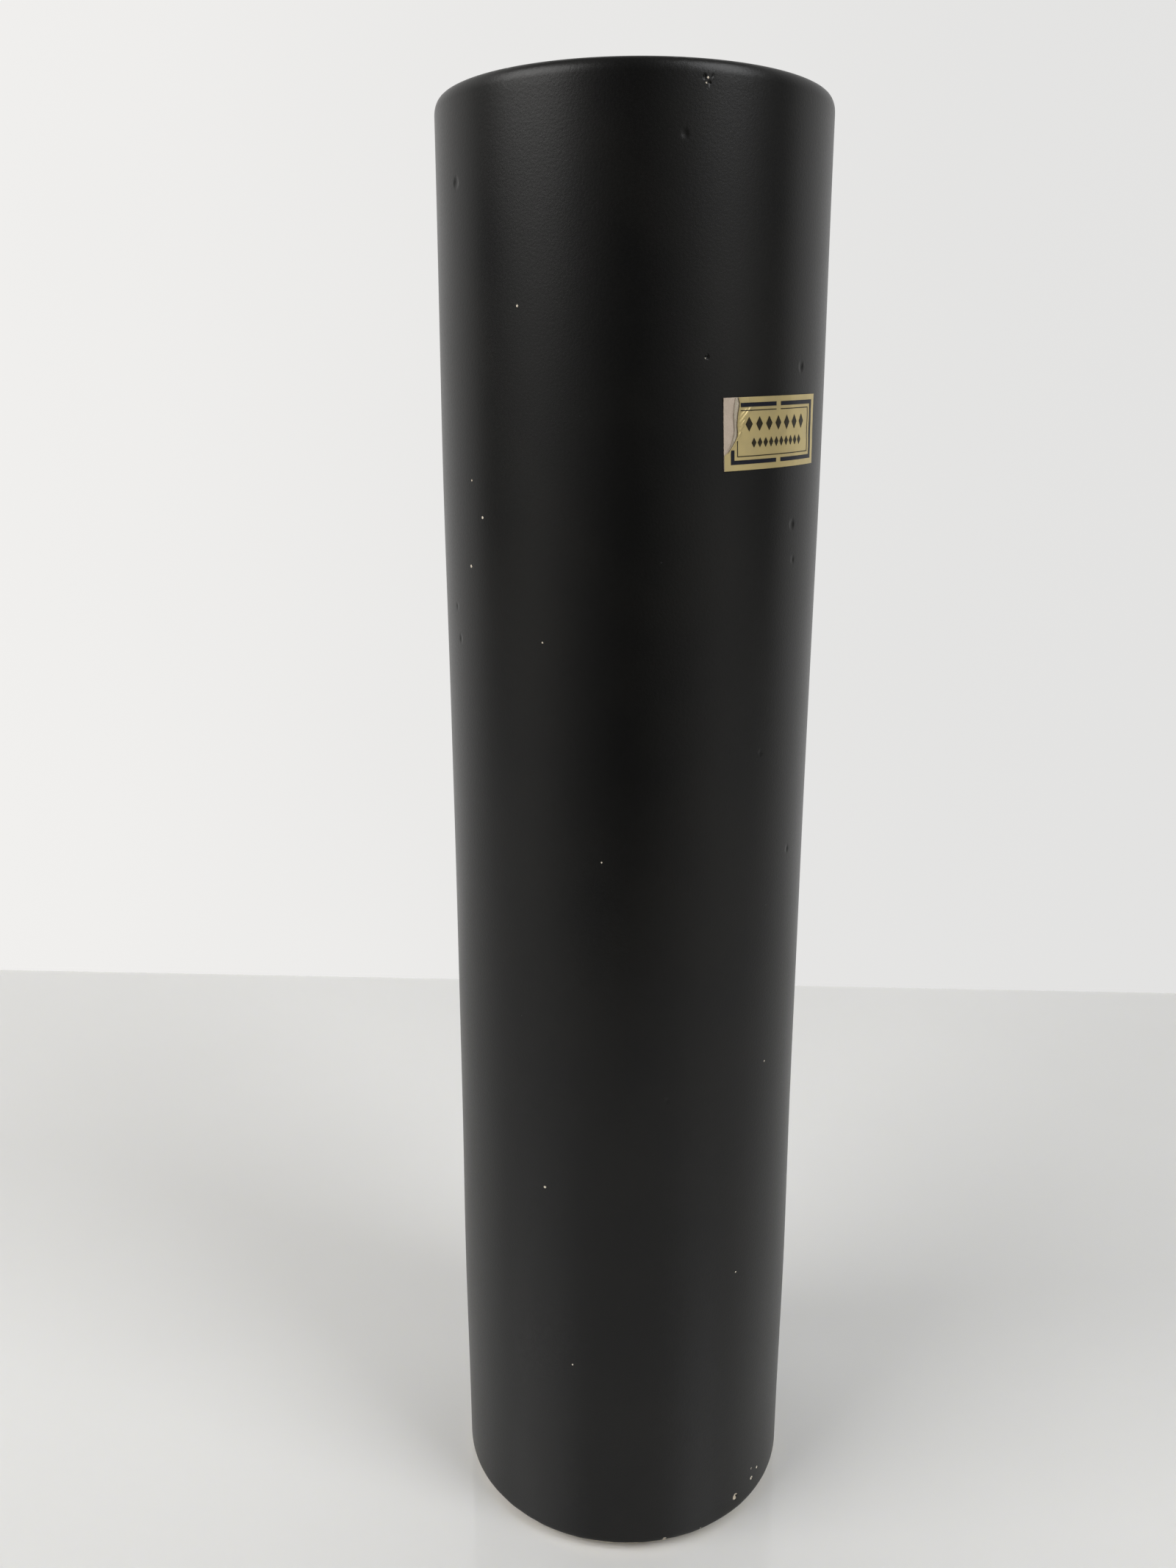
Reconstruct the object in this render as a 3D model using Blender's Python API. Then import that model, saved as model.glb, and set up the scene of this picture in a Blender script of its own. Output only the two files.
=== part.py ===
"""Tall ceramic cylinder vase: fired clay body, two glaze coats and a torn foil label.

The vase stands on Z = 0 with its axis on Z. Its front faces -Y, and the label sits on
the front right, towards +X. All sizes are in metres.
"""
import math

import bpy

# Driving dimensions.
HEIGHT = 0.300
RADIUS = 0.0375             # outside of the glazed wall
WALL = 0.0055               # whole wall: outer glaze, clay and liner glaze
FLOOR = 0.0080              # height of the glazed inside floor above the table
GLAZE = 0.0005              # thickness of either glaze coat
GAP = 0.0003                # clearance kept between pieces that touch

# Lip: both edges are rounded, the outer one over a taller and narrower curve.
LIP_OUT_WIDTH = 0.0013
LIP_OUT_DROP = 0.0024
LIP_IN_WIDTH = 0.0016
LIP_IN_DROP = 0.0018
OVERLAP = 0.025             # how far the outer glaze runs down inside the mouth

# Bottom: rounded edge, flat ring to stand on, shallow recess within it.
FOOT_ROUND = 0.0036         # rounding of the bare clay edge
GLAZE_END = math.radians(12)    # how far round that edge the outer glaze reaches
RING_WIDTH = 0.0065
RECESS_DEPTH = 0.0015
RECESS_SLOPE = 0.0012
FLOOR_FILLET = 0.008        # inside corner between wall and floor

# Label: a paper sticker faced with foil, wrapped round the wall and slightly askew.
LABEL_WIDTH = 0.0248
LABEL_HEIGHT = 0.0125
LABEL_CENTRE_Z = 0.2411
LABEL_BEARING = math.radians(44.2)  # from the front (-Y) round towards +X
LABEL_TILT = math.radians(2.4)      # its right end is the higher one
LABEL_GAP = 0.00015
PAPER_THICKNESS = 0.00015
FOIL_THICKNESS = 0.00012

# Left edge of what is left of the foil: (distance from the label's left edge,
# distance below its top edge). The last two points are the edge that wasn't torn.
TEAR = (
    (0.00290, 0.0),
    (0.00315, 0.0009),
    (0.00280, 0.0028),
    (0.00260, 0.0049),
    (0.00265, 0.0066),
    (0.00200, 0.0078),
    (0.00120, 0.0088),
    (0.00004, 0.0098),
    (0.00004, LABEL_HEIGHT),
)

# Fineness of the round shapes.
SEGMENTS = 64
LIP_STEPS = 4
FILLET_STEPS = 5
FOOT_STEPS = 6
GLAZE_END_STEPS = 2
LABEL_COLUMNS = 10
LABEL_ROWS = 4

# Derived dimensions.
BORE = RADIUS - WALL        # inside of the glazed wall
SKIN = GLAZE + GAP          # from the glazed surface to the clay
SEAM_Z = HEIGHT - OVERLAP   # lower end of the outer glaze inside the mouth
FOOT_CENTRE = RADIUS - SKIN - FOOT_ROUND
SHARP_ANGLE = math.radians(40)
QUARTER = math.pi / 2


def clear_scene():
    for item in list(bpy.data.objects):
        bpy.data.objects.remove(item, do_unlink=True)


def make_material(name, colour, roughness, metallic=0.0):
    material = bpy.data.materials.new(name)
    material.use_nodes = True
    shader = material.node_tree.nodes["Principled BSDF"]
    shader.inputs["Base Color"].default_value = (*colour, 1.0)
    shader.inputs["Roughness"].default_value = roughness
    shader.inputs["Metallic"].default_value = metallic
    return material


def arc(centre, radii, start, end, steps):
    """Points (radius, height) along an elliptical arc, both ends included."""
    points = []
    for step in range(steps + 1):
        angle = start + (end - start) * step / steps
        points.append((centre[0] + radii[0] * math.cos(angle),
                       centre[1] + radii[1] * math.sin(angle)))
    return points


def lip_line(depth):
    """The lip from inside to outside, a given depth under the glazed surface."""
    inside = arc((BORE + LIP_IN_WIDTH, HEIGHT - LIP_IN_DROP),
                 (LIP_IN_WIDTH - depth, LIP_IN_DROP - depth), math.pi, QUARTER, LIP_STEPS)
    outside = arc((RADIUS - LIP_OUT_WIDTH, HEIGHT - LIP_OUT_DROP),
                  (LIP_OUT_WIDTH - depth, LIP_OUT_DROP - depth), QUARTER, 0.0, LIP_STEPS)
    return inside + outside


def foot_line(depth, end, steps):
    """The rounded bottom edge from the wall down to the given angle."""
    radius = FOOT_ROUND + SKIN - depth
    return arc((FOOT_CENTRE, FOOT_ROUND), (radius, radius), 0.0, end, steps)


def floor_line(depth):
    """The inside from the axis over the floor and its fillet to the wall."""
    radius = FLOOR_FILLET + depth
    fillet = arc((BORE - FLOOR_FILLET, FLOOR + FLOOR_FILLET), (radius, radius),
                 -QUARTER, 0.0, FILLET_STEPS)
    return [(0.0, FLOOR - depth)] + fillet


def glaze_line(depth):
    """The outer coat from its end inside the mouth to its end at the foot."""
    foot = foot_line(depth, -GLAZE_END, GLAZE_END_STEPS)
    return [(BORE + depth, SEAM_Z)] + lip_line(depth) + foot


def liner_line(depth):
    return floor_line(depth) + [(BORE + depth, SEAM_Z - GAP)]


def turn(name, profile, closed, material):
    """Turns a profile, given inside to outside and then downwards, about Z."""
    mesh = bpy.data.meshes.new(name)
    count = len(profile)
    edges = [(index, index + 1) for index in range(count - 1)]
    if closed:
        edges.append((count - 1, 0))
    mesh.from_pydata([(radius, 0.0, height) for radius, height in profile], edges, [])
    piece = bpy.data.objects.new(name, mesh)
    bpy.context.scene.collection.objects.link(piece)
    screw = piece.modifiers.new("turn", "SCREW")
    screw.axis = "Z"
    screw.angle = 2 * math.pi
    screw.steps = SEGMENTS
    screw.render_steps = SEGMENTS
    screw.use_merge_vertices = True
    screw.merge_threshold = 0.00001
    screw.use_smooth_shade = True
    mesh.materials.append(material)
    return piece


def make_clay_body(material):
    """Clay under both glazes, with its bare bottom edge, foot ring and recess."""
    ring_inner = FOOT_CENTRE - RING_WIDTH
    underside = [
        (ring_inner, 0.0),
        (ring_inner - RECESS_SLOPE, RECESS_DEPTH),
        (0.0, RECESS_DEPTH),
    ]
    foot = foot_line(SKIN, -QUARTER, FOOT_STEPS)
    profile = floor_line(SKIN) + lip_line(SKIN) + foot + underside
    return turn("clay_body", profile, False, material)


def make_outer_glaze(material):
    """Coat over the wall and the lip, which stops short of the table."""
    profile = glaze_line(0.0) + list(reversed(glaze_line(GLAZE)))
    return turn("outer_glaze", profile, True, material)


def make_liner_glaze(material):
    """Coat over the inside wall and floor, up to the outer glaze."""
    profile = liner_line(0.0) + list(reversed(liner_line(GLAZE)))
    return turn("liner_glaze", profile, False, material)


def wrap(across, down, radius):
    """A point on the wall from its place on the label, measured from the top left."""
    right = across - LABEL_WIDTH / 2
    up = LABEL_HEIGHT / 2 - down
    along = right * math.cos(LABEL_TILT) - up * math.sin(LABEL_TILT)
    rise = right * math.sin(LABEL_TILT) + up * math.cos(LABEL_TILT)
    bearing = LABEL_BEARING + along / RADIUS
    return (radius * math.sin(bearing), -radius * math.cos(bearing), LABEL_CENTRE_Z + rise)


def wrap_sheet(name, left_edge, radius, thickness, material):
    """A thin sheet round the wall, from its left edge's points to the label's right edge."""
    vertices = []
    for left, down in left_edge:
        for column in range(LABEL_COLUMNS + 1):
            across = left + (LABEL_WIDTH - left) * column / LABEL_COLUMNS
            vertices.append(wrap(across, down, radius))
    stride = LABEL_COLUMNS + 1
    faces = []
    for row in range(len(left_edge) - 1):
        for column in range(LABEL_COLUMNS):
            corner = row * stride + column
            faces.append((corner, corner + stride, corner + stride + 1, corner + 1))
    mesh = bpy.data.meshes.new(name)
    mesh.from_pydata(vertices, [], faces)
    mesh.materials.append(material)
    mesh.shade_smooth()
    mesh.set_sharp_from_angle(angle=SHARP_ANGLE)
    piece = bpy.data.objects.new(name, mesh)
    bpy.context.scene.collection.objects.link(piece)
    solid = piece.modifiers.new("thickness", "SOLIDIFY")
    solid.thickness = thickness
    solid.offset = 1.0
    return piece


def make_label_paper(material):
    left_edge = [(0.0, LABEL_HEIGHT * row / LABEL_ROWS) for row in range(LABEL_ROWS + 1)]
    return wrap_sheet("label_paper", left_edge, RADIUS + LABEL_GAP, PAPER_THICKNESS, material)


def make_label_foil(material):
    radius = RADIUS + LABEL_GAP + PAPER_THICKNESS + LABEL_GAP
    return wrap_sheet("label_foil", TEAR, radius, FOIL_THICKNESS, material)


def build():
    clear_scene()
    make_clay_body(make_material("bare_clay", (0.62, 0.55, 0.44), 0.85))
    make_outer_glaze(make_material("matte_black_glaze", (0.018, 0.018, 0.018), 0.45))
    make_liner_glaze(make_material("black_liner_glaze", (0.014, 0.013, 0.012), 0.25))
    make_label_paper(make_material("backing_paper", (0.52, 0.42, 0.33), 0.8))
    make_label_foil(make_material("gold_foil", (0.72, 0.55, 0.24), 0.35, 1.0))


build()
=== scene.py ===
import math

import bmesh
import bpy
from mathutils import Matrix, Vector, noise


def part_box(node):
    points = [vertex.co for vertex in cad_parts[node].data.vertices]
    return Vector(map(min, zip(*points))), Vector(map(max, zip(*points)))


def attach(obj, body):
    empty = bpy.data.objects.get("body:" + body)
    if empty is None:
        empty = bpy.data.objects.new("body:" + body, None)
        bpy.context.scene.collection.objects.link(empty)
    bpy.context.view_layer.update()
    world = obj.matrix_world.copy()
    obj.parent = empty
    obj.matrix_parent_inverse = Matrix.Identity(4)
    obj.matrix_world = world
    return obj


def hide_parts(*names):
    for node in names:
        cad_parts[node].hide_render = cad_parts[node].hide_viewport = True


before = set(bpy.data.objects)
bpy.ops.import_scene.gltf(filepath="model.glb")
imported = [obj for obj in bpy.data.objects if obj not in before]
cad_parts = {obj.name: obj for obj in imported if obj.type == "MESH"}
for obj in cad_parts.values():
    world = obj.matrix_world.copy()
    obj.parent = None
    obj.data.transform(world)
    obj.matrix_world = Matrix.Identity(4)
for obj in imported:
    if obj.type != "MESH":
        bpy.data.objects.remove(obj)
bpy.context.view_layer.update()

mm = 0.001
quarterTurn = math.pi / 2

# sizes that the frame gives
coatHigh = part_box("outer_glaze")[1]
wallRadius = coatHigh.x
vaseHeight = coatHigh.z



class Wire:
    # a socket that can be used in plain arithmetic
    def __init__(self, recipe, socket):
        self.recipe = recipe
        self.socket = socket

    def maths(self, operation, first, second=None, third=None):
        values = [value for value in (first, second, third) if value is not None]
        return self.recipe.node("ShaderNodeMath", {"operation": operation}, dict(enumerate(values)))

    def __add__(self, other):
        return self.maths("ADD", self, other)

    def __radd__(self, other):
        return self.maths("ADD", other, self)

    def __sub__(self, other):
        return self.maths("SUBTRACT", self, other)

    def __rsub__(self, other):
        return self.maths("SUBTRACT", other, self)

    def __mul__(self, other):
        return self.maths("MULTIPLY", self, other)

    def __rmul__(self, other):
        return self.maths("MULTIPLY", other, self)

    def __truediv__(self, other):
        return self.maths("DIVIDE", self, other)

    def __gt__(self, other):
        return self.maths("GREATER_THAN", self, other)

    def between(self, low, high):
        # 0 below low, 1 above high, smooth in the middle
        settings = {"interpolation_type": "SMOOTHSTEP", "clamp": True}
        return self.recipe.node("ShaderNodeMapRange", settings,
                                {"Value": self, "From Min": low, "From Max": high})


class Recipe:
    # one material, or the world, built node by node
    def __init__(self, name, owner=None):
        self.owner = owner or bpy.data.materials.new(name)
        self.owner.use_nodes = True
        self.tree = self.owner.node_tree
        self.tree.nodes.clear()

    def node(self, kind, settings=None, sockets=None, out=0):
        made = self.tree.nodes.new(kind)
        for key, value in (settings or {}).items():
            if key == "stops":
                self.setStops(made.color_ramp, value)
            else:
                setattr(made, key, value)
        for key, value in (sockets or {}).items():
            if isinstance(value, Wire):
                self.tree.links.new(value.socket, made.inputs[key])
            else:
                made.inputs[key].default_value = value
        return Wire(self, made.outputs[out]) if made.outputs else made

    def setStops(self, ramp, stops):
        while len(ramp.elements) > 1:
            ramp.elements.remove(ramp.elements[-1])
        for index, (place, colour) in enumerate(stops):
            element = ramp.elements[0] if index == 0 else ramp.elements.new(place)
            element.position = place
            element.color = (*colour, 1.0)

    def place(self):
        return self.node("ShaderNodeTexCoord", out="Object")

    def noise(self, place, size, detail=2.0, roughness=0.5, out="Fac"):
        # size is the width of one blotch, in metres
        return self.node("ShaderNodeTexNoise", None, {
            "Vector": place, "Scale": 1 / size, "Detail": detail, "Roughness": roughness}, out)

    def mix(self, factor, first, second):
        # between two colours
        return self.node("ShaderNodeMix", {"data_type": "RGBA"},
                         {0: factor, 6: first, 7: second}, 2)

    def bump(self, height, distance, strength=1.0):
        return self.node("ShaderNodeBump", None, {
            "Height": height, "Distance": distance, "Strength": strength})

    def surface(self, sockets):
        shader = self.node("ShaderNodeBsdfPrincipled", None, sockets)
        self.node("ShaderNodeOutputMaterial", None, {"Surface": shader})
        return self.owner


def grey(value):
    return (value, value, value, 1.0)



glazeFinish = {
    "black": (0.0020, 0.0020, 0.0019, 1.0),
    "cloud": (0.0036, 0.0034, 0.0029, 1.0),
    "specular": 0.27,
    "roughness": 0.345,
    "cloudSize": 22 * mm,
    "grain": 0.45 * mm,
    "swellSize": 2.4 * mm,
    "relief": 0.020 * mm,
    "pinholeSpacing": 7.0 * mm,
    "pinholeRadius": 0.16 * mm,
    "pinholeShare": 0.28,       # share of the cells that hold one
    # colour of a pinhole's hollow, darkened as painted shade
    "pinholePaintedShade": 0.001,
}


def makeGlaze():
    look = glazeFinish
    recipe = Recipe("matteBlackGlaze")
    place = recipe.place()
    clouds = recipe.noise(place, look["cloudSize"], 3.0)
    grain = recipe.noise(place, look["grain"], 2.0, 0.6)
    swell = recipe.noise(place, look["swellSize"], 2.0)
    # a few cells of a coarse cell pattern hold one pinhole each
    cells = {"Vector": place, "Scale": 1 / look["pinholeSpacing"], "Randomness": 1.0}
    reach = recipe.node("ShaderNodeTexVoronoi", {"feature": "F1"}, cells, "Distance")
    draw = recipe.node("ShaderNodeTexVoronoi", {"feature": "F1"}, cells, "Color")
    chosen = recipe.node("ShaderNodeSeparateColor", None, {0: draw}, 0) > 1 - look["pinholeShare"]
    radius = look["pinholeRadius"] / look["pinholeSpacing"]
    pinhole = (1 - reach.between(radius * 0.4, radius)) * chosen
    colour = recipe.mix(clouds.between(0.35, 0.7), look["black"], look["cloud"])
    # painted shade: each pinhole's colour is darkened, besides being bumped inwards below
    colour = recipe.mix(pinhole, colour, grey(look["pinholePaintedShade"]))
    roughness = look["roughness"] + (clouds - 0.5) * 0.06 + (grain - 0.5) * 0.10
    relief = grain + swell * 0.25 - pinhole * 4.0
    normal = recipe.bump(relief, look["relief"])
    return recipe.surface({
        "Base Color": colour, "Roughness": roughness, "Normal": normal,
        "Specular IOR Level": look["specular"]})


linerFinish = {
    "black": (0.010, 0.009, 0.008, 1.0),
    "brown": (0.022, 0.016, 0.011, 1.0),
    "roughness": 0.22,
}


def makeLinerGlaze():
    look = linerFinish
    recipe = Recipe("glossyLinerGlaze")
    place = recipe.place()
    clouds = recipe.noise(place, 16 * mm, 3.0)
    ripple = recipe.noise(place, 3 * mm, 2.0)
    colour = recipe.mix(clouds.between(0.4, 0.7), look["black"], look["brown"])
    roughness = look["roughness"] + (ripple - 0.5) * 0.1
    return recipe.surface({
        "Base Color": colour, "Roughness": roughness,
        "Normal": recipe.bump(ripple, 0.05 * mm, 0.5)})


clayFinish = {
    "pale": (0.72, 0.66, 0.55, 1.0),
    "warm": (0.56, 0.48, 0.37, 1.0),
    "soot": (0.16, 0.14, 0.12, 1.0),
    "roughness": 0.85,
}


def makeClay():
    look = clayFinish
    recipe = Recipe("bareClay")
    place = recipe.place()
    clouds = recipe.noise(place, 9 * mm, 4.0)
    grit = recipe.noise(place, 0.5 * mm, 3.0, 0.7)
    colour = recipe.mix(clouds.between(0.35, 0.75), look["pale"], look["warm"])
    colour = recipe.mix((grit > 0.68) * 0.5, colour, look["soot"])
    return recipe.surface({
        "Base Color": colour, "Roughness": look["roughness"] + (grit - 0.5) * 0.1,
        "Normal": recipe.bump(grit, 0.08 * mm, 0.7)})


paperFinish = {
    "tan": (0.50, 0.41, 0.33, 1.0),
    "stain": (0.40, 0.32, 0.245, 1.0),
    "fibre": (0.62, 0.54, 0.43, 1.0),
    "roughness": 0.8,
}


def makePaper():
    look = paperFinish
    recipe = Recipe("backingPaper")
    place = recipe.place()
    stains = recipe.noise(place, 3 * mm, 3.0)
    fibres = recipe.noise(place, 0.25 * mm, 4.0, 0.7)
    colour = recipe.mix(stains.between(0.4, 0.8), look["tan"], look["stain"])
    colour = recipe.mix(fibres.between(0.4, 0.7) * 0.35, colour, look["fibre"])
    return recipe.surface({
        "Base Color": colour, "Roughness": look["roughness"] + (fibres - 0.5) * 0.1,
        "Normal": recipe.bump(fibres, 0.03 * mm, 0.8)})


foilFinish = {
    "gold": (0.54, 0.435, 0.20, 1.0),
    "worn": (0.475, 0.385, 0.19, 1.0),
    "metallic": 0.55,
    "roughness": 0.36,
}


def makeFoil():
    look = foilFinish
    recipe = Recipe("goldFoil")
    place = recipe.place()
    clouds = recipe.noise(place, 4 * mm, 3.0)
    brush = recipe.noise(place, 0.3 * mm, 3.0, 0.6)
    colour = recipe.mix(clouds.between(0.4, 0.75), look["gold"], look["worn"])
    roughness = look["roughness"] + (clouds - 0.5) * 0.12 + (brush - 0.5) * 0.08
    return recipe.surface({
        "Base Color": colour, "Metallic": look["metallic"], "Roughness": roughness,
        "Normal": recipe.bump(brush * 0.4 + clouds, 0.02 * mm, 0.7)})


filmFinish = {
    "silver": (0.52, 0.465, 0.375, 1.0),
    "fibre": (0.44, 0.37, 0.28, 1.0),
    "metallic": 0.45,
    "roughness": 0.42,
}


def makeFilm():
    look = filmFinish
    recipe = Recipe("tornFilm")
    place = recipe.place()
    fuzz = recipe.noise(place, 0.3 * mm, 3.0, 0.7)
    colour = recipe.mix(fuzz.between(0.4, 0.7), look["silver"], look["fibre"])
    return recipe.surface({
        "Base Color": colour, "Metallic": look["metallic"],
        "Roughness": look["roughness"] + (fuzz - 0.5) * 0.2,
        "Normal": recipe.bump(fuzz, 0.03 * mm, 0.8)})


inkFinish = {
    "navy": (0.0045, 0.0055, 0.012, 1.0),
    "brown": (0.018, 0.014, 0.006, 1.0),
    "roughness": 0.35,
    "specular": 0.22,
}


def makeInk(name, colour):
    recipe = Recipe(name)
    place = recipe.place()
    coverage = recipe.noise(place, 0.35 * mm, 3.0, 0.6)
    thin = tuple(channel * 2.2 for channel in colour[:3]) + (1.0,)
    return recipe.surface({
        "Base Color": recipe.mix(coverage.between(0.5, 0.8), colour, thin),
        "Roughness": inkFinish["roughness"] + (coverage - 0.5) * 0.15,
        "Specular IOR Level": inkFinish["specular"]})


finishes = {
    "glaze": makeGlaze(),
    "liner": makeLinerGlaze(),
    "clay": makeClay(),
    "paper": makePaper(),
    "foil": makeFoil(),
    "film": makeFilm(),
    "navyInk": makeInk("navyInk", inkFinish["navy"]),
    "brownInk": makeInk("brownInk", inkFinish["brown"]),
}
print("finishes made:", len(finishes))



def addPiece(name, mesh, finishNames, nodes=()):
    piece = bpy.data.objects.new(name, mesh)
    bpy.context.scene.collection.objects.link(piece)
    for finishName in finishNames:
        mesh.materials.append(finishes[finishName])
    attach(piece, "root")
    if nodes:
        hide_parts(*nodes)
    return piece


def arc(centre, radii, start, end, steps):
    points = []
    for step in range(steps + 1):
        angle = start + (end - start) * step / steps
        points.append((centre[0] + radii[0] * math.cos(angle),
                       centre[1] + radii[1] * math.sin(angle)))
    return points


def straight(start, end, stride):
    # points after start, up to and with end
    reach = math.dist(start, end)
    steps = max(1, round(reach / stride))
    return [(start[0] + (end[0] - start[0]) * step / steps,
             start[1] + (end[1] - start[1]) * step / steps) for step in range(1, steps + 1)]


def around(bearing, radius, height):
    # bearing is counted from the front (-Y) towards +X
    return Vector((radius * math.sin(bearing), -radius * math.cos(bearing), height))


def turnSheet(lineAt, columns, closed=False):
    # lineAt(bearing) gives the profile, from inside to outside and then downwards
    shape = bmesh.new()
    rings = []
    for column in range(columns):
        bearing = 2 * math.pi * column / columns
        rings.append([shape.verts.new(around(bearing, max(radius, 0.0), height))
                      for radius, height in lineAt(bearing)])
    count = len(rings[0])
    spans = count if closed else count - 1
    for column in range(columns):
        here, there = rings[column], rings[(column + 1) % columns]
        for index in range(spans):
            after = (index + 1) % count
            shape.faces.new((here[index], here[after], there[after], there[index]))
    bmesh.ops.remove_doubles(shape, verts=shape.verts, dist=0.002 * mm)
    return shape


def finishShape(shape, name):
    mesh = bpy.data.meshes.new(name)
    bmesh.ops.recalc_face_normals(shape, faces=shape.faces)
    shape.to_mesh(mesh)
    shape.free()
    mesh.shade_smooth()
    return mesh


vase = {
    "wall": 5.5 * mm,           # whole wall, both glazes included
    "floor": 8.0 * mm,          # glazed inside floor above the table
    "coat": 0.5 * mm,           # thickness of a glaze coat
    "lipOut": (1.3 * mm, 2.4 * mm),
    "lipIn": (1.6 * mm, 1.8 * mm),
    "footRound": 4.4 * mm,      # rounding of the glazed bottom edge
    "footCentre": 3.6 * mm,     # height of that rounding's centre
    "glazeEnd": math.radians(12),
    "seam": 25.0 * mm,          # the matte coat's reach down inside the mouth
    "fillet": 8.0 * mm,
    "ringWidth": 6.5 * mm,
    "recess": 1.5 * mm,
    "stride": 1.5 * mm,
    "columns": 300,
    "wobble": 0.05 * mm,
    "swells": ((0.78, 0.13, 0.32 * mm), (0.18, 0.09, 0.28 * mm)),    # height share, reach, rise
}
bore = wallRadius - vase["wall"]
footRadius = wallRadius - vase["footRound"]


def ringNoise(bearing, height, turns, seed):
    # smooth noise that closes on itself round the vase
    spot = Vector((math.sin(bearing) * turns, math.cos(bearing) * turns, height * turns / 0.04 + seed))
    return noise.noise(spot)


def wallAt(bearing, height):
    # the wall swells a little above the middle and above the foot, and isn't quite true
    swell = 0.0
    for middle, reach, rise in vase["swells"]:
        swell += rise * math.exp(-((height / vaseHeight - middle) / reach) ** 2)
    return wallRadius + swell + vase["wobble"] * ringNoise(bearing, height, 0.9, 3.1)


def lipLine(depth):
    inWidth, inDrop = vase["lipIn"]
    outWidth, outDrop = vase["lipOut"]
    inside = arc((bore + inWidth, vaseHeight - inDrop), (inWidth - depth, inDrop - depth),
                 math.pi, quarterTurn, 7)
    outside = arc((wallRadius - outWidth, vaseHeight - outDrop), (outWidth - depth, outDrop - depth),
                  quarterTurn, 0.0, 9)
    crown = straight(inside[-1], outside[0], 0.5 * mm)[:-1]
    return inside + crown + outside


def coatLine(bearing):
    # outer glaze: up inside the mouth, over the lip, down the wall and round the foot
    coat = vase["coat"]
    seamHeight = vaseHeight - vase["seam"] + 1.4 * mm * ringNoise(bearing, 0.0, 3.0, 8.0)
    end = vase["glazeEnd"] * (1 + 0.22 * ringNoise(bearing, 0.0, 6.0, 1.7)
                              + 0.14 * ringNoise(bearing, 0.0, 17.0, 5.2))
    lip = lipLine(0.0)
    line = [(bore + 0.10 * mm, seamHeight), (bore - 0.05 * mm, seamHeight + 0.3 * mm),
            (bore, seamHeight + 1.2 * mm)]
    line += straight(line[-1], lip[0], 3 * mm)[:-1] + lip
    foot = arc((footRadius, vase["footCentre"]), (vase["footRound"], vase["footRound"]), 0.0, -end, 8)
    line += straight(lip[-1], foot[0], vase["stride"])[:-1] + foot
    line = [(radius + wallAt(bearing, height) - wallRadius, height) for radius, height in line]
    # rounded bead at the foot, then back up under the coat
    inner = vase["footRound"] - coat
    centre = (footRadius, vase["footCentre"])
    bead = arc((centre[0] + (vase["footRound"] - coat / 2) * math.cos(end),
                centre[1] - (vase["footRound"] - coat / 2) * math.sin(end)),
               (coat / 2, coat / 2), -end, -end - math.pi, 4)[1:-1]
    back = arc(centre, (inner, inner), -end, 0.0, 4)
    back += [(wallRadius - coat, vaseHeight - 12 * mm)]
    back += list(reversed(lipLine(coat)[::4]))
    back += [(bore + coat, seamHeight + 0.3 * mm)]
    return line + bead + back


marks = [
    # kind, then in mm: way round from the front, height and size; the first rows are the front
    ("dimple", -37.3, 283.8, 1.0), ("dimple", 8.5, 288.4, 0.7), ("pit", 11.7, 297.0, 0.36),
    ("speck", 12.3, 296.9, 0.18), ("pit", 12.6, 296.2, 0.28), ("pit", 13.1, 297.1, 0.24),
    ("speck", 12.0, 296.1, 0.14), ("pit", 12.2, 295.5, 0.2), ("pit", 13.1, 253.6, 0.42),
    ("dimple", 35.8, 252.5, 0.9), ("dimple", 34.7, 224.4, 0.9), ("dimple", 35.5, 217.8, 0.7),
    ("dimple", -41.5, 208.0, 0.7), ("dimple", -40.1, 201.9, 0.8), ("dimple", 27.8, 181.6, 0.6),
    ("dimple", 38.9, 159.4, 0.8), ("dimple", 8.5, 111.8, 0.6),
    ("speck", -20.9, 262.2, 0.22), ("speck", 12.9, 253.4, 0.16), ("speck", -30.4, 225.7, 0.28),
    ("speck", -34.6, 216.4, 0.3), ("speck", -16.4, 203.7, 0.16), ("speck", -4.9, 162.2, 0.18),
    ("speck", 33.0, 114.3, 0.2), ("speck", -17.1, 89.8, 0.3), ("speck", 25.8, 67.0, 0.2),
    ("speck", -10.9, 48.3, 0.18), ("speck", -33.6, 232.3, 0.2),
    ("chip", 28.5, 6.1, 0.75), ("chip", 34.6, 7.1, 0.45), ("chip", 37.0, 8.4, 0.3),
    ("chip", 34.4, 10.0, 0.2), ("chip", 9.6, 2.6, 0.6), ("chip", 18.6, 2.7, 0.3),
    ("dimple", 70.0, 240.0, 0.8), ("dimple", 96.0, 150.0, 0.9), ("pit", -80.0, 190.0, 0.5),
    ("pit", 110.0, 270.0, 0.4), ("dimple", -100.0, 90.0, 0.8), ("speck", 88.0, 60.0, 0.25),
    ("chip", -75.0, 2.8, 0.5), ("chip", 100.0, 4.5, 0.4),
]
markShapes = {
    # depth in mm for each mm of size, and how many times the mesh is cut finer there
    "dimple": {"depth": 0.16, "rounds": 2},
    "pit": {"depth": 0.65, "rounds": 3},
    "speck": {"depth": -0.35, "rounds": 4},
    "chip": {"depth": 0.42, "rounds": 3},
}


def skinNear(shape, spot, reach):
    # points of the outer skin close to a spot on the wall
    outwards = Vector((spot.x, spot.y, 0.0)).normalized()
    shallowest = spot.dot(outwards) - 0.35 * mm
    return [vert for vert in shape.verts
            if abs(vert.co.z - spot.z) < reach and (vert.co - spot).length < reach
            and vert.co.dot(outwards) > shallowest]


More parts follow.
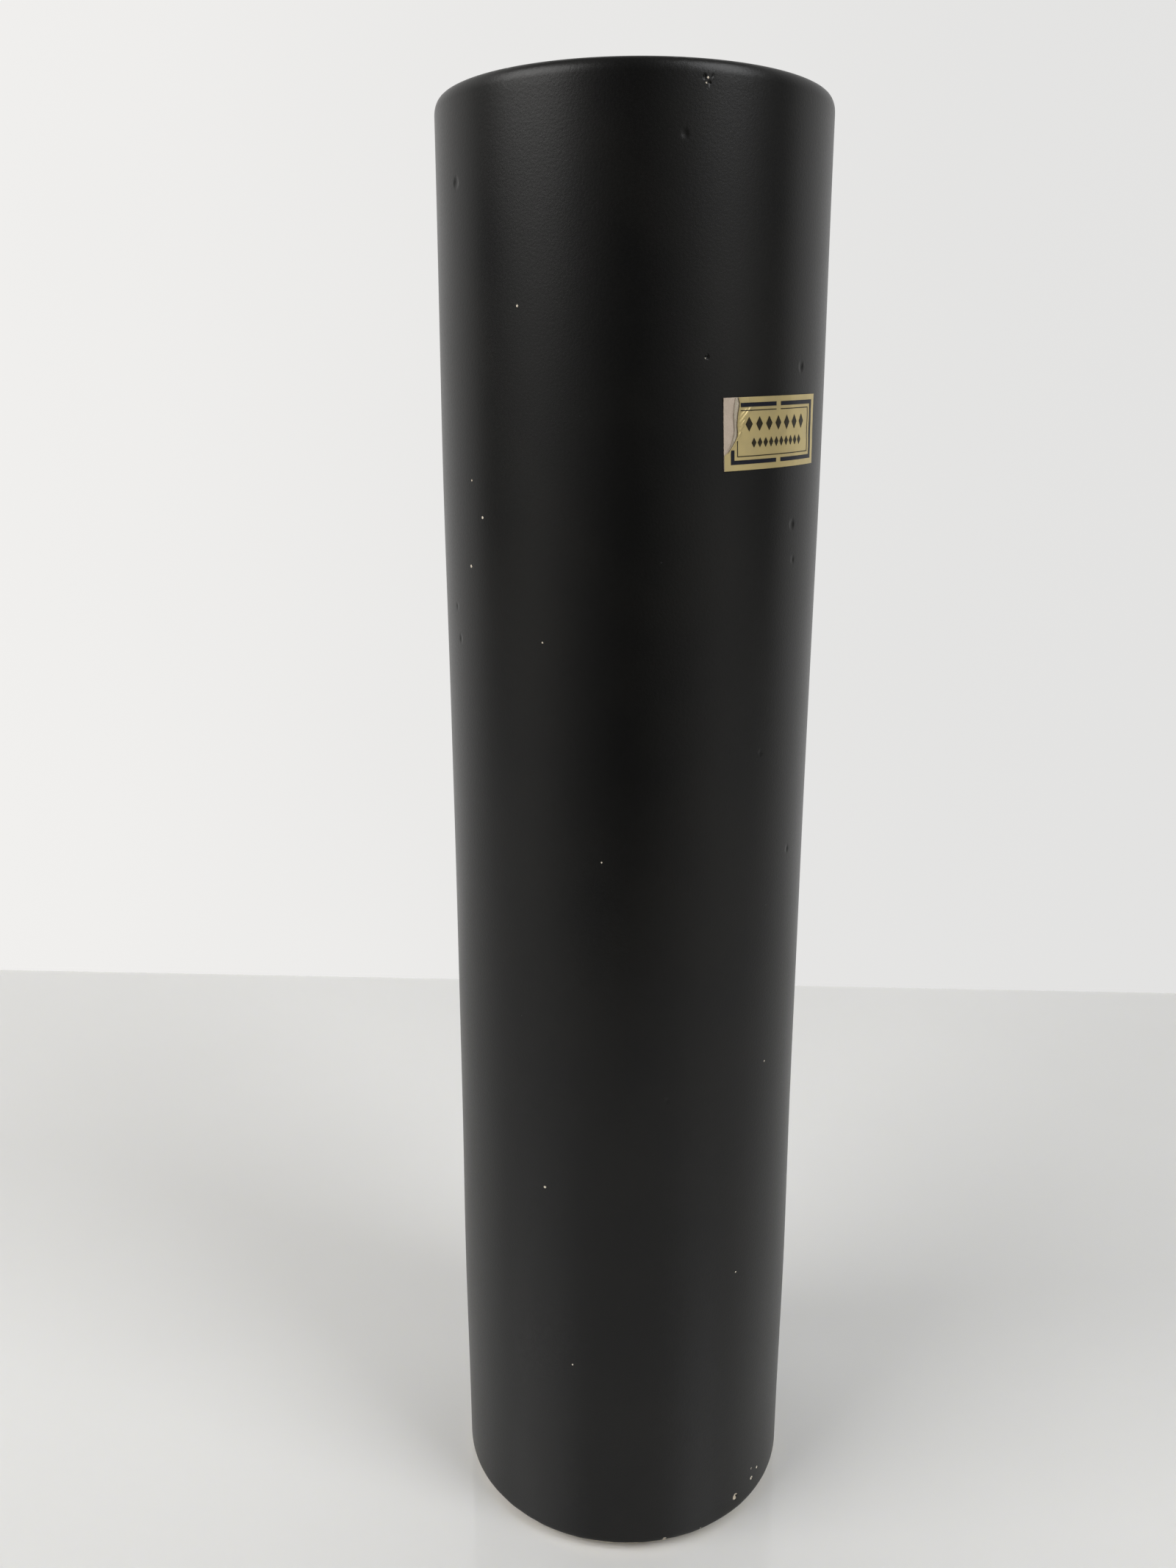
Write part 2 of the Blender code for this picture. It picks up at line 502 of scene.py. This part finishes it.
def addMarks(shape):
    # dimples, pinholes, grit and chips are cut into a locally finer mesh
    for order, (kind, alongMm, heightMm, sizeMm) in enumerate(marks):
        form = markShapes[kind]
        bearing = alongMm * mm / wallRadius
        size = sizeMm * mm
        spot = around(bearing, wallAt(bearing, heightMm * mm), heightMm * mm)
        outwards = around(bearing, 1.0, 0.0)
        for step in range(form["rounds"]):
            # only what is still coarse is cut, or neighbouring marks would cut each other's mesh
            span = vase["stride"] / 2 ** step
            near = skinNear(shape, spot, size * 1.5 + span * 0.7)
            edges = {edge for vert in near for edge in vert.link_edges if edge.calc_length() > span * 0.4}
            bmesh.ops.subdivide_edges(shape, edges=list(edges), cuts=1, use_grid_fill=True)
        near = skinNear(shape, spot, size * 1.6)
        shift = Vector((order * 3.7, 0.0, 0.0))
        for vert in near:
            away = (vert.co - spot).length / (size * ragged(kind, vert.co, shift))
            if away < 1:
                fall = min(1.0, (1 - away) * 3.0) if kind == "chip" else 1 - away * away
                vert.co -= outwards * (form["depth"] * size * fall)
        if kind in ("chip", "speck"):
            for face in {face for vert in near for face in vert.link_faces}:
                middle = face.calc_center_median()
                if (middle - spot).length < size * ragged(kind, middle, shift) * 0.92:
                    face.material_index = 1


def ragged(kind, place, shift):
    # chips have a broken outline, the other marks are nearly round
    depth = 0.45 if kind == "chip" else 0.2
    return 1 + depth * noise.noise(place * 1400 + shift)


def makeCoat():
    shape = turnSheet(coatLine, vase["columns"], closed=True)
    bmesh.ops.recalc_face_normals(shape, faces=shape.faces)
    addMarks(shape)
    mesh = finishShape(shape, "matteCoat")
    return addPiece("matteCoat", mesh, ["glaze", "clay"], ["outer_glaze"])


def linerLine(bearing):
    coat = vase["coat"]
    seamHeight = vaseHeight - vase["seam"] + 4 * mm
    lift = vase["floor"]
    fillet = arc((bore - vase["fillet"], lift + vase["fillet"]), (vase["fillet"],) * 2,
                 -quarterTurn, 0.0, 10)
    line = [(0.0, lift)] + straight((0.0, lift), fillet[0], 3 * mm)[:-1] + fillet
    line += straight(fillet[-1], (bore, seamHeight), 4 * mm)
    line = [(radius + (0.06 * mm * ringNoise(bearing, height, 1.2, 6.0) if radius > 0 else 0.0), height)
            for radius, height in line]
    line[-1] = (bore + 0.2 * mm, seamHeight)
    under = arc((bore - vase["fillet"], lift + vase["fillet"]), (vase["fillet"] + coat,) * 2,
                0.0, -quarterTurn, 6)
    return line + [(bore + coat, seamHeight)] + under + [(0.0, lift - coat)]


def makeLiner():
    mesh = finishShape(turnSheet(linerLine, 160), "linerCoat")
    return addPiece("linerCoat", mesh, ["liner"], ["liner_glaze"])


def clayLine(bearing):
    # the clay meets the underside of both coats, and is bare below the outer one
    depth = vase["coat"] - 0.08 * mm
    lift = vase["floor"] - depth
    radius = vase["fillet"] + depth
    fillet = arc((bore - vase["fillet"], vase["floor"] + vase["fillet"]), (radius, radius),
                 -quarterTurn, 0.0, 6)
    body = [(0.0, lift)] + fillet + lipLine(depth)[::3]
    footOut = wallRadius - depth
    edge = arc((footRadius, vase["footCentre"]), (footOut - footRadius, vase["footCentre"]),
               0.0, -quarterTurn, 14)
    edge = [(r + 0.05 * mm * ringNoise(bearing, z, 9.0, 2.2), z) for r, z in edge[:-1]] + edge[-1:]
    ringIn = footRadius - vase["ringWidth"]
    flat = straight(edge[-1], (ringIn, 0.0), 2 * mm)
    slope = arc((ringIn - vase["recess"], 0.0), (vase["recess"],) * 2, 0.0, quarterTurn, 5)[1:]
    base = straight(slope[-1], (0.0, vase["recess"]), 4 * mm)
    return body + edge + flat + slope + base


def makeClayBody():
    mesh = finishShape(turnSheet(clayLine, 200), "clayBody")
    return addPiece("clayBody", mesh, ["clay"], ["clay_body"])


coatPiece = makeCoat()
print("matte coat:", len(coatPiece.data.polygons), "faces")
makeLiner()
makeClayBody()
print("liner and clay made")



def readLabelPlace():
    # the label's middle, from the frame's own label
    points = [vert.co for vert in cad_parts["label_paper"].data.vertices]
    middle = sum(points, Vector()) / len(points)
    return math.atan2(middle.x, -middle.y), middle.z


labelBearing, labelHeight = readLabelPlace()
label = {
    "width": 24.8,              # label sizes are in mm, from its top left corner
    "height": 12.5,
    "tilt": math.radians(2.4),
    "paperLift": 0.03,
    "paperThick": 0.12,
    "filmLift": 0.17,
    "foilLift": 0.21,
    "foilThick": 0.05,
    "inkLift": 0.285,
    "cell": 0.14,
    "curl": (0.16, 0.35, 9.4),      # rise and reach of the lifted torn edge, and how far down it goes
    "corner": (0.10, 1.6),          # rise and reach of the lifted top right corner
    # distance of the torn foil's edge from the left edge, at each depth from the top
    "foilTear": [(0.0, 2.90), (0.5, 3.02), (0.9, 3.18), (1.7, 3.06), (2.8, 2.80), (3.9, 2.68),
                 (4.9, 2.60), (5.8, 2.72), (6.6, 2.62), (7.2, 2.34), (7.8, 1.96), (8.3, 1.62),
                 (8.8, 1.16), (9.15, 0.95), (9.5, 0.42), (9.85, 0.0), (12.5, 0.0)],
    "filmTear": [(0.0, 2.36), (0.8, 2.20), (1.75, 2.03), (2.8, 1.92), (3.83, 1.94), (4.8, 2.04),
                 (5.7, 2.08), (6.4, 1.94), (6.95, 1.76), (7.8, 1.42), (8.7, 1.04), (9.1, 0.85)],
    # crease: from (across, down) to (across, down), height, width
    "creases": [((3.3, 4.2), (5.9, 1.5), 0.24, 0.17), ((3.3, 4.9), (4.4, 3.8), 0.20, 0.13),
                ((3.2, 5.5), (4.1, 4.6), 0.16, 0.12), ((2.75, 6.7), (3.4, 5.9), 0.16, 0.12),
                ((3.2, 3.4), (4.9, 1.9), 0.12, 0.15), ((4.9, 0.0), (5.6, 1.7), 0.08, 0.25),
                ((3.9, 0.0), (4.9, 1.6), 0.08, 0.2), ((3.0, 2.2), (4.2, 1.1), 0.10, 0.16)],
}


def readEdge(points, down):
    for (low, first), (high, second) in zip(points, points[1:]):
        if down <= high:
            share = (down - low) / (high - low)
            return first + (second - first) * share
    return points[-1][1]


def creaseLift(across, down):
    total = 0.0
    for (x0, y0), (x1, y1), height, width in label["creases"]:
        dx, dy = x1 - x0, y1 - y0
        length = math.hypot(dx, dy)
        along = ((across - x0) * dx + (down - y0) * dy) / length
        aside = ((across - x0) * -dy + (down - y0) * dx) / length
        fade = max(0.0, 1 - abs(along / length - 0.5) * 1.7)
        total += height * math.sqrt(fade) * math.exp(-abs(aside) / width)
    return total


def labelLift(across, down):
    # the way the foil stands off the paper: creases, a lifted torn edge, slow waves
    waves = 0.05 * (noise.noise(Vector((across * 0.28, down * 0.4, 4.0))) + 0.5)
    fromTear = max(0.0, across - readEdge(label["foilTear"], down))
    curlRise, curlReach, curlEnd = label["curl"]
    curl = curlRise * math.exp(-fromTear / curlReach) if down < curlEnd else 0.0
    cornerRise, cornerReach = label["corner"]
    corner = cornerRise * math.exp(-math.hypot(across - label["width"], down) / cornerReach)
    return max(0.0, waves) + creaseLift(across, down) + curl + corner


def labelPoint(across, down, lift):
    right = across - label["width"] / 2
    up = label["height"] / 2 - down
    along = (right * math.cos(label["tilt"]) - up * math.sin(label["tilt"])) * mm
    rise = (right * math.sin(label["tilt"]) + up * math.cos(label["tilt"])) * mm
    bearing = labelBearing + along / wallAt(labelBearing, labelHeight)
    return around(bearing, wallAt(bearing, labelHeight + rise) + lift * mm, labelHeight + rise)


def sheetGrid(shape, leftAt, rightAt, top, bottom, liftAt, cell):
    # one skin between two edges; rows run down, columns run across
    rows = max(1, round((bottom - top) / cell))
    width = max(rightAt(top + (bottom - top) * row / rows) - leftAt(top + (bottom - top) * row / rows)
                for row in range(rows + 1))
    columns = max(1, round(width / cell))
    grid = []
    for row in range(rows + 1):
        down = top + (bottom - top) * row / rows
        left, right = leftAt(down), rightAt(down)
        grid.append([shape.verts.new(labelPoint(left + (right - left) * column / columns, down,
                                                liftAt(left + (right - left) * column / columns, down)))
                     for column in range(columns + 1)])
    for row in range(rows):
        for column in range(columns):
            shape.faces.new((grid[row][column], grid[row + 1][column],
                             grid[row + 1][column + 1], grid[row][column + 1]))


def thicken(shape, thickness):
    # closes a skin into a thin sheet that grows outwards
    shape.normal_update()
    skin = list(shape.faces)
    copies = {vert: shape.verts.new(vert.co + vert.normal * thickness * mm) for vert in list(shape.verts)}
    borders = [edge for edge in shape.edges if len(edge.link_faces) == 1]
    for face in skin:
        shape.faces.new([copies[vert] for vert in face.verts])
    for edge in borders:
        face = edge.link_faces[0]
        loop = next(item for item in face.loops if item.edge == edge)
        first, second = loop.vert, loop.link_loop_next.vert
        shape.faces.new((first, copies[first], copies[second], second))
    bmesh.ops.reverse_faces(shape, faces=skin)


def makeSheet(name, parts, liftAt, thickness, finishName, nodes=()):
    whole = bmesh.new()
    for leftAt, rightAt, top, bottom in parts:
        sheetGrid(whole, leftAt, rightAt, top, bottom, liftAt, label["cell"])
    thicken(whole, thickness)
    mesh = finishShape(whole, name)
    mesh.set_sharp_from_angle(angle=math.radians(50))
    return addPiece(name, mesh, [finishName], nodes)


def constant(value):
    return lambda down: value


def makePaperBase():
    fray = 0.05

    def leftEdge(down):
        return fray * noise.noise(Vector((0.0, down * 3.0, 9.0)))

    def rise(across, down):
        corner = 0.12 * math.exp(-math.hypot(across, down) / 1.3)
        return label["paperLift"] + corner + 0.02 * noise.noise(Vector((across, down, 0.0)))

    part = (leftEdge, constant(label["width"]), 0.0, label["height"])
    return makeSheet("labelPaper", [part], rise, label["paperThick"], "paper",
                     ["label_paper"])


def makeTornFilm():
    def leftEdge(down):
        return readEdge(label["filmTear"], down) + 0.06 * noise.noise(Vector((0.0, down * 5.0, 2.0)))

    def rightEdge(down):
        return readEdge(label["foilTear"], down) + 0.25

    def rise(across, down):
        fromEdge = across - leftEdge(down)
        curl = 0.12 * math.exp(-fromEdge / 0.12)
        return label["filmLift"] + curl + 0.03 * noise.noise(Vector((across * 3, down * 2, 7.0)))

    return makeSheet("tornFilm", [(leftEdge, rightEdge, 0.0, 9.1)], rise, 0.03, "film")


def foilRise(across, down):
    return label["foilLift"] + labelLift(across, down)


def makeFoilFace():
    def leftEdge(down):
        fray = 0.07 * noise.noise(Vector((3.0, down * 4.0, 5.0))) if down < 9.8 else 0.0
        return readEdge(label["foilTear"], down) + fray

    part = (leftEdge, constant(label["width"]), 0.0, label["height"])
    return makeSheet("goldFoilFace", [part], foilRise, label["foilThick"], "foil",
                     ["label_foil"])


printing = {
    "bar": 0.72,                # width of the broad frame
    "rule": 0.16,               # width of the fine line inside it
    "barTop": 1.32,             # middle of each line, from the left or the top
    "barBottom": 11.10,
    "barLeft": 1.63,
    "barRight": 23.25,
    "ruleTop": 2.28,
    "ruleBottom": 10.10,
    "ruleLeft": 2.66,
    "ruleRight": 22.02,
    "gap": (11.80, 13.04),      # the frame is open here, above and below
    "tornLeft": 3.35,           # the top lines start where the foil does
    # middle, height and count of the lozenges, and where the first and last stand
    "rows": ((4.62, 2.5, 7, 5.2, 19.5), (7.85, 1.7, 10, 6.3, 18.8)),
    "slimness": 0.62,
}


def strip(left, right, top, bottom):
    return (constant(left), constant(right), top, bottom)


def lozenge(centre, middle, width, height, start, end):
    # a lozenge's upper or lower half, start and end counted from its middle downwards
    def half(down):
        return width / 2 * max(0.0, 1 - abs(down - middle) / (height / 2)) + 0.01
    return (lambda down: centre - half(down), lambda down: centre + half(down),
            middle + start, middle + end)


def inkRise(across, down):
    return label["inkLift"] + labelLift(across, down)


def makePrinting():
    p = printing
    bar, rule = p["bar"] / 2, p["rule"] / 2
    gapLeft, gapRight = p["gap"]
    broad = [strip(p["tornLeft"], gapLeft, p["barTop"] - bar, p["barTop"] + bar),
             strip(gapRight, p["barRight"] + bar, p["barTop"] - bar, p["barTop"] + bar),
             strip(p["barRight"] - bar, p["barRight"] + bar, p["barTop"] + bar, p["barBottom"] - bar),
             strip(p["barLeft"] - bar, gapLeft, p["barBottom"] - bar, p["barBottom"] + bar),
             strip(gapRight, p["barRight"] + bar, p["barBottom"] - bar, p["barBottom"] + bar),
             (lambda down: max(p["barLeft"] - bar, readEdge(label["foilTear"], down) + 0.12),
              constant(p["barLeft"] + bar), 8.95, p["barBottom"] - bar)]
    fine = [strip(p["tornLeft"], gapLeft, p["ruleTop"] - rule, p["ruleTop"] + rule),
            strip(gapRight, p["ruleRight"] + rule, p["ruleTop"] - rule, p["ruleTop"] + rule),
            strip(p["ruleRight"] - rule, p["ruleRight"] + rule,
                  p["ruleTop"] + rule, p["ruleBottom"] - rule),
            strip(p["ruleLeft"] - rule, p["ruleRight"] + rule,
                  p["ruleBottom"] - rule, p["ruleBottom"] + rule),
            strip(p["ruleLeft"] - rule, p["ruleLeft"] + rule, 7.4, p["ruleBottom"] - rule)]
    lozenges = []
    for middle, height, count, first, last in p["rows"]:
        for index in range(count):
            centre = first + (last - first) * index / (count - 1)
            width = height * p["slimness"]
            lozenges.append(lozenge(centre, middle, width, height, -height / 2, 0.0))
            lozenges.append(lozenge(centre, middle, width, height, 0.0, height / 2))
    makeSheet("printedFrame", broad, inkRise, 0.02, "navyInk")
    makeSheet("printedRule", fine, inkRise, 0.02, "brownInk")
    makeSheet("printedLozenges", lozenges, inkRise, 0.02, "brownInk")


makePaperBase()
makeTornFilm()
makeFoilFace()
makePrinting()
print("label made, bearing", round(math.degrees(labelBearing), 1), "degrees")



studio = {
    "tableHalf": 1.4,
    "tableFront": -0.33,
    "tableBack": 0.2705,        # back edge at the axis, and its slant
    "tableSlant": -0.016,
    "tableThick": 0.018,
    "wallDistance": 0.42,
    "wallHalf": 2.4,
    "wallHeight": 2.2,
}


def makeTableFinish():
    # white laminate: glossy skin over a slightly translucent body
    recipe = Recipe("whiteTable")
    place = recipe.place()
    smudges = recipe.noise(place, 90 * mm, 3.0)
    return recipe.surface({
        "Base Color": recipe.mix(smudges, (0.69, 0.69, 0.68, 1.0), (0.72, 0.72, 0.71, 1.0)),
        "Roughness": 0.04 + smudges * 0.05, "Specular IOR Level": 0.5,
        "Subsurface Weight": 1.0, "Subsurface Radius": (1.0, 1.0, 0.9), "Subsurface Scale": 3.0 * mm})


def makeWallFinish():
    # painted light: a backdrop that glows by itself instead of being lit, evenly but a little brighter to
    # the left as a painted fall-off of the light
    recipe = Recipe("paleBackdrop")
    place = recipe.place()
    across = recipe.node("ShaderNodeSeparateXYZ", None, {0: place}, "X")
    tone = recipe.noise(place, 300 * mm, 2.0)
    # painted light: the glow ramps from brighter on the left to darker on the right
    glow = recipe.mix((across + (tone - 0.5) * 0.2).between(-0.50, 0.30), (0.87, 0.86, 0.845, 1.0),
                      (0.755, 0.752, 0.745, 1.0))
    return recipe.surface({
        "Base Color": grey(0.02), "Roughness": 0.9, "Specular IOR Level": 0.0,
        "Emission Color": glow, "Emission Strength": 1.0})


def makeTable():
    half, slant = studio["tableHalf"], studio["tableSlant"]
    corners = [(-half, studio["tableFront"]), (half, studio["tableFront"]),
               (half, studio["tableBack"] + slant * half), (-half, studio["tableBack"] - slant * half)]
    shape = bmesh.new()
    top = shape.faces.new([shape.verts.new((x, y, 0.0)) for x, y in corners])
    lower = bmesh.ops.extrude_face_region(shape, geom=[top])
    for item in lower["geom"]:
        if isinstance(item, bmesh.types.BMVert):
            item.co.z -= studio["tableThick"]
    bmesh.ops.bevel(shape, geom=list(shape.edges), offset=1.0 * mm, segments=3, affect="EDGES")
    bmesh.ops.recalc_face_normals(shape, faces=shape.faces)
    mesh = bpy.data.meshes.new("tableTop")
    shape.to_mesh(mesh)
    shape.free()
    mesh.materials.append(makeTableFinish())
    table = bpy.data.objects.new("tableTop", mesh)
    bpy.context.scene.collection.objects.link(table)


def makeWall():
    half, distance = studio["wallHalf"], studio["wallDistance"]
    shape = bmesh.new()
    line = [(distance, -0.4), (distance, 0.0), (distance, studio["wallHeight"])]
    columns = [[shape.verts.new((x, y, z)) for y, z in line] for x in (-half, 0.0, half)]
    for left, right in zip(columns, columns[1:]):
        for index in range(len(line) - 1):
            shape.faces.new((left[index], right[index], right[index + 1], left[index + 1]))
    mesh = bpy.data.meshes.new("backdropSheet")
    shape.to_mesh(mesh)
    shape.free()
    mesh.materials.append(makeWallFinish())
    wall = bpy.data.objects.new("backdropSheet", mesh)
    bpy.context.scene.collection.objects.link(wall)


makeTable()
makeWall()


def pointAt(thing, target):
    thing.rotation_euler = (Vector(target) - thing.location).to_track_quat("-Z", "Y").to_euler()


lamps = {
    # where it stands (bearing, distance, height), size, radiance and colour
    "softLeft": {"bearing": -59.5, "distance": 0.95, "height": 0.84, "size": (0.81, 0.56), "radiance": 6.0,
                 "colour": (1.0, 0.99, 0.98)},
    "softRight": {"bearing": 54.4, "distance": 0.95, "height": 0.99, "size": (0.54, 0.74), "radiance": 6.0,
                  "colour": (0.97, 0.98, 1.0)},
}


lampAim = (0.0, 0.0, 0.12)


def addLamps():
    for name, lamp in lamps.items():
        data = bpy.data.lights.new(name, "AREA")
        data.shape = "RECTANGLE"
        data.size, data.size_y = lamp["size"]
        data.energy = lamp["radiance"] * math.pi * lamp["size"][0] * lamp["size"][1]
        data.color = lamp["colour"]
        thing = bpy.data.objects.new(name, data)
        bpy.context.scene.collection.objects.link(thing)
        thing.location = around(math.radians(lamp["bearing"]), lamp["distance"], lamp["height"])
        pointAt(thing, lampAim)


room = {
    # brightness of the room round the table, by bearing from the front in degrees
    "walls": ((0, 0.01), (35, 0.36), (60, 0.78), (88, 0.10), (180, 0.05)),
    "tint": (1.0, 0.985, 0.95),
    "seen": (0.80, 0.80, 0.79, 1.0),    # what a camera sees past the backdrop
}


def makeWorld():
    world = bpy.data.worlds.new("studioAir")
    bpy.context.scene.world = world
    recipe = Recipe("studioAir", world)
    towards = recipe.node("ShaderNodeTexCoord", out="Generated")
    split = recipe.node("ShaderNodeSeparateXYZ", None, {0: towards}, "X").socket.node
    across, ahead = Wire(recipe, split.outputs["X"]), Wire(recipe, split.outputs["Y"])
    aside = across.maths("ABSOLUTE", across)
    bearing = across.maths("ARCTAN2", aside, ahead * -1)
    stops = [(degrees / 180, tuple(value * channel for channel in room["tint"]))
             for degrees, value in room["walls"]]
    walls = recipe.node("ShaderNodeValToRGB", {"stops": stops}, {0: bearing / math.pi})
    seen = recipe.node("ShaderNodeLightPath", out="Is Camera Ray")
    air = recipe.node("ShaderNodeBackground", None,
                      {"Color": recipe.mix(seen, walls, room["seen"]), "Strength": 1.0})
    recipe.node("ShaderNodeOutputWorld", None, {"Surface": air})


viewpoint = {
    "back": 0.905,              # distance in front and height, in vase heights
    "up": 0.8095,
    "lookDown": 0.2712,         # radians
    "lookLeft": 0.0319,
    "lens": 29.92,
    "sensor": 36.0,
    "nearest": 0.01,
}


def addCamera():
    # close in front and a little under the rim
    data = bpy.data.cameras.new("camera")
    data.sensor_width = viewpoint["sensor"]
    data.lens = viewpoint["lens"]
    data.clip_start = viewpoint["nearest"]
    camera = bpy.data.objects.new("camera", data)
    bpy.context.scene.collection.objects.link(camera)
    camera.location = (0.0, -viewpoint["back"] * vaseHeight, viewpoint["up"] * vaseHeight)
    camera.rotation_euler = (quarterTurn - viewpoint["lookDown"], 0.0, viewpoint["lookLeft"])
    bpy.context.scene.camera = camera


addLamps()
makeWorld()
addCamera()
bpy.context.scene.view_settings.view_transform = "Standard"
print("studio made")
